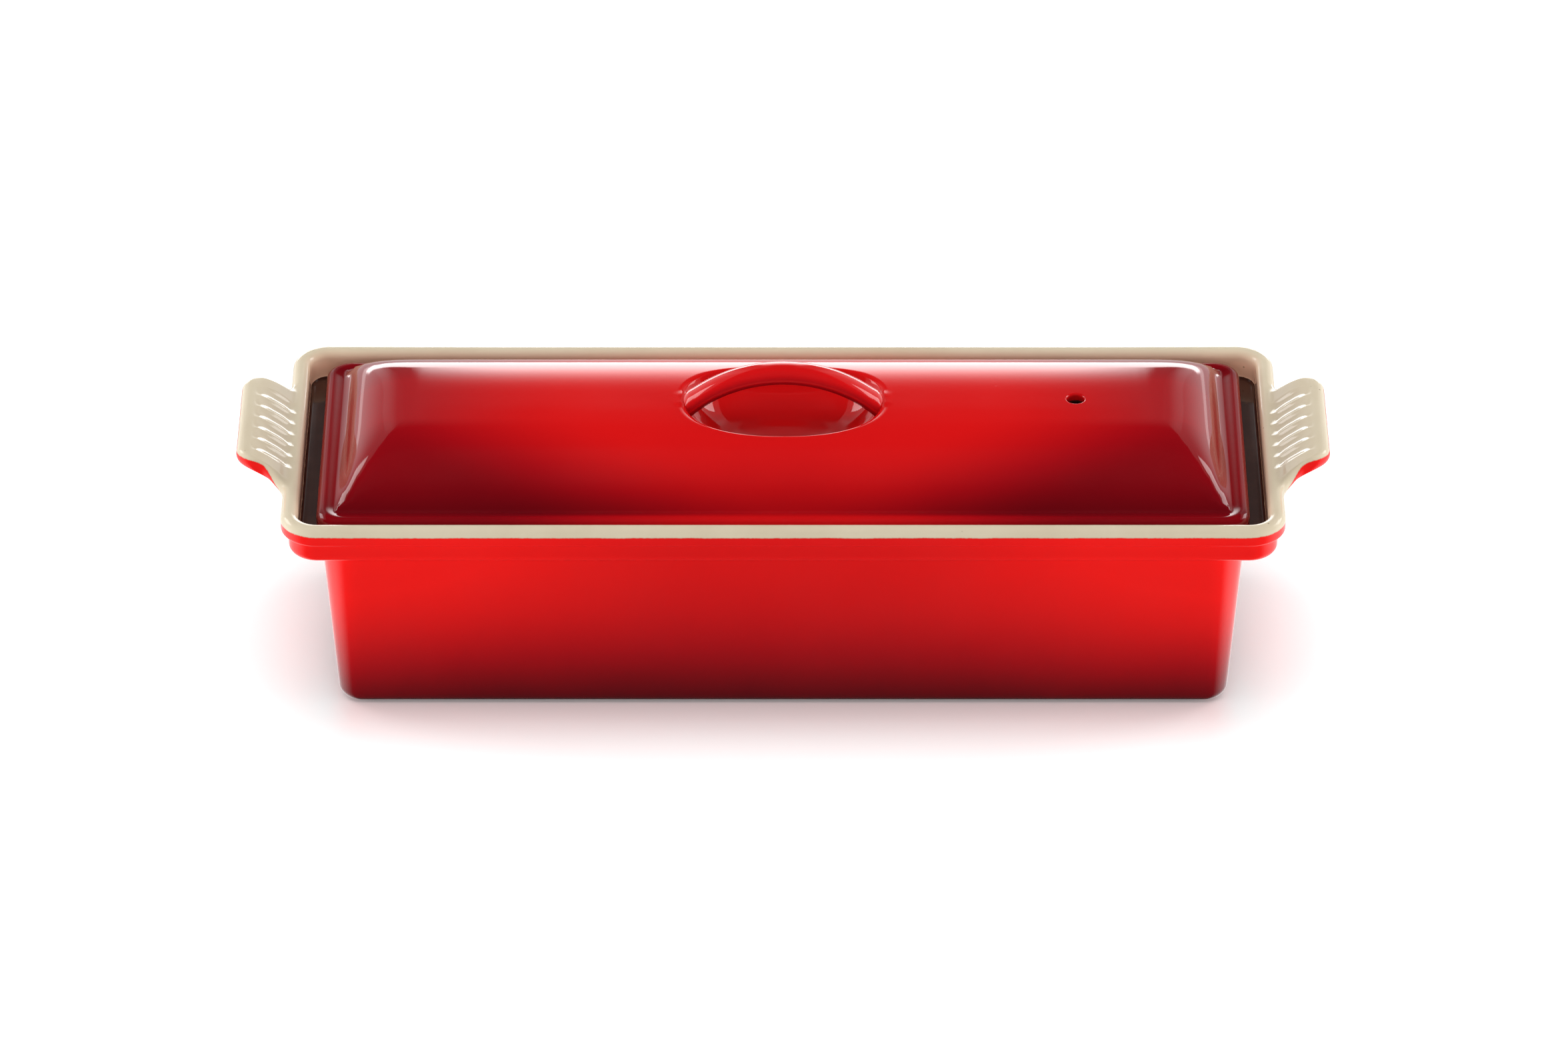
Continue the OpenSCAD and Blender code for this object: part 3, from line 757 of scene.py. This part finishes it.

# The floor, in metres: painted tint and glow near the dish's foot, and the painted reflection the gloss sees from a
# front corner
floorSettings = {
    "half": 4.0, "z": -0.0001, "foot": (0.137, 0.035), "white": (0.92, 0.92, 0.92, 1),
    "pink": (0.95, 0.72, 0.72, 1), "pinkReach": 0.032,
    "cool": (0.85, 0.95, 0.95, 1), "coolReach": (0.02, 0.09), "flankReach": 0.012,
    "glow": (0.11, 0.36), "glowReach": 0.065, "glowTint": (0.85, 1, 1, 1),
    "gloss": (1.25, 0.08), "glossBehind": 0.80, "behindReach": (0.05, 0.20), "corner": (0.134, -0.037),
    "dimReach": (0.0, 0.95), "leastOut": 0.001,
}


# Painted red bounce tints the floor by the dish; gloss sees a painted reflection, dim in front, bright beside and
# behind
def makeFloor(s):
    bm = bmesh.new()
    bmesh.ops.create_grid(bm, x_segments=2, y_segments=2, size=s["half"])
    bmesh.ops.translate(bm, verts=bm.verts, vec=(0, 0, s["z"]))
    floor = addPiece("paleFloor", bm)
    material = bpy.data.materials.new("paleFloor")
    material.use_nodes = True
    n = Nodes(material.node_tree)
    place = n.add("ShaderNodeSeparateXYZ", {"Vector": n.place()}).outputs
    wide, back = n.math("ABSOLUTE", place["X"]), place["Y"]
    beside = n.math("MAXIMUM", n.math("SUBTRACT", wide, s["foot"][0]), 0)
    before = n.math("MAXIMUM", n.math("SUBTRACT", n.math("ABSOLUTE", back), s["foot"][1]), 0)
    away = n.math("SQRT", n.math("MULTIPLY_ADD", beside, beside, n.math("MULTIPLY", before, before)))
    # Pink near the foot is painted red bounce light; the cool tint beside the dish is painted to offset that bounce
    flank = n.math("MULTIPLY", n.ramp(beside, 0, s["flankReach"]), n.ramp(away, *s["coolReach"], 1, 0))
    tint = n.mix(flank, n.mix(n.ramp(away, 0, s["pinkReach"]), s["pink"], s["white"]), s["cool"])
    # The floor glows though it is no lamp, less near the foot: painted light with a painted contact shadow
    glow = n.ramp(away, 0, s["glowReach"], *s["glow"])
    lit = n.add("ShaderNodeAddShader", {0: n.add("ShaderNodeBsdfDiffuse", {"Color": tint}).outputs["BSDF"],
                                        1: n.emission(glow, s["glowTint"])})
    # Painted reflection: glossy rays see an emission, bright behind and beside the dish, dim in front of its corners
    outside = n.math("MAXIMUM", n.math("SUBTRACT", wide, s["corner"][0]), s["leastOut"])
    turn = n.math("DIVIDE", n.math("SUBTRACT", s["corner"][1], back), outside)
    behind = n.ramp(back, *s["behindReach"], 1, s["glossBehind"] / s["gloss"][0])
    seen = n.math("MULTIPLY", n.ramp(turn, *s["dimReach"], *s["gloss"]), behind)
    shader = n.add("ShaderNodeMixShader", {
        0: n.add("ShaderNodeLightPath").outputs["Is Glossy Ray"], 1: lit.outputs["Shader"],
        2: n.emission(seen)})
    n.add("ShaderNodeOutputMaterial", {"Surface": shader.outputs["Shader"]})
    floor.data.materials.append(material)


makeFloor(floorSettings)

# The white backdrop, as the camera, the surfaces and the gloss see it
worldLight = {"seen": 1.0, "lit": 0.10, "mirrored": 0.015}


def makeWorld(w):
    world = bpy.data.worlds.new("studio")
    world.use_nodes = True
    scene.world = world
    n = Nodes(world.node_tree)
    rays = n.add("ShaderNodeLightPath").outputs
    strength = n.math("MULTIPLY", n.ramp(rays["Is Camera Ray"], 0, 1, w["lit"], w["seen"], smooth=False),
                      n.ramp(rays["Is Glossy Ray"], 0, 1, 1, w["mirrored"] / w["lit"], smooth=False))
    sky = n.add("ShaderNodeBackground", {"Color": (1, 1, 1, 1), "Strength": strength})
    n.add("ShaderNodeOutputWorld", {"Surface": sky.outputs["Background"]})


makeWorld(worldLight)

# Each softbox, in metres: place, aim, width and height, brightness, turn in its plane in degrees, whether the gloss
# shows it, and whether it has a mirror image on the left. A masked one goes from one brightness to another between
# two distances from the middle plane (across) and between two heights (up), each given as from, to and the two
# brightnesses. Its edges lean outwards below a height (lean: the lowest and highest height, and the slope)
softboxes = {
    "overhead": {"place": (0, -0.2, 2.2), "aim": (0, 0, 0), "size": (2.4, 2.0), "bright": 2.35, "shown": False},
    "frontFill": {"place": (0, -2.4, 1.1), "aim": (0, 0, 0.05), "size": (2.4, 1.2), "bright": 1.8, "shown": False},
    "fill": {"place": (1.6, -0.2, 0.3), "aim": (0, 0, 0.04), "size": (0.8, 0.5), "bright": 9.5, "shown": False,
             "paired": True},
    "backPanel": {"place": (0, 1.25, 0.46), "aim": (0, 0, 0.46), "size": (1.50, 0.84), "bright": 4.8,
                  "across": (0.125, 0.215, 1, 0), "up": (0.37, 0.88, 1, 0), "lean": (0.12, 0.38, 2.0)},
    "backGlow": {"place": (0, 1.28, 0.75), "aim": (0, 0, 0.75), "size": (1.30, 1.10), "bright": 0.16,
                 "across": (0.12, 0.20, 0.15, 1), "up": (0.95, 1.25, 1, 0)},
    "end": {"place": (0.905, 0.62, 0.55), "aim": (0.131, -0.017, 0.55), "size": (1.68, 1.35), "bright": 0.95,
            "turn": -12, "across": (0.35, 0.50, 0.10, 1), "up": (0, 0.8, 1, 0.36), "paired": True},
    "side": {"place": (1.16, 0.60, 0.78), "aim": (0, 0, 0.09), "size": (0.66, 0.50), "bright": 3.8, "paired": True},
}


def maskSoftbox(data, s):
    data.use_nodes = True
    n = Nodes(data.node_tree)
    place = n.add("ShaderNodeSeparateXYZ", {"Vector": n.add("ShaderNodeNewGeometry").outputs["Position"]}).outputs
    wide = n.math("ABSOLUTE", place["X"])
    if "lean" in s:
        low, high, slope = s["lean"]
        wide = n.math("ADD", wide, n.ramp(place["Z"], low, high, (low - high) * slope, 0, smooth=False))
    light = n.math("MULTIPLY", n.ramp(wide, *s["across"]), n.ramp(place["Z"], *s["up"]))
    n.add("ShaderNodeOutputLight", {"Surface": n.emission(light)})


def addSoftbox(name, s, side=1):
    data = bpy.data.lights.new(name, "AREA")
    data.shape = "RECTANGLE"
    data.size, data.size_y = s["size"]
    data.energy = s["bright"] * pi * s["size"][0] * s["size"][1]
    if "across" in s:
        maskSoftbox(data, s)
    lamp = bpy.data.objects.new(name, data)
    scene.collection.objects.link(lamp)
    place, aim = (Vector((side * x, y, z)) for x, y, z in (s["place"], s["aim"]))
    turn = Quaternion((0, 0, 1), radians(side * s.get("turn", 0)))
    lamp.location = place
    lamp.rotation_euler = ((aim - place).to_track_quat("-Z", "Y") @ turn).to_euler()
    lamp.visible_glossy = s.get("shown", True)
    lamp.visible_camera = False


for name, settings in softboxes.items():
    if settings.get("paired"):
        addSoftbox(name + "Left", settings, -1)
        addSoftbox(name + "Right", settings)
    else:
        addSoftbox(name, settings)
print("stage lit")
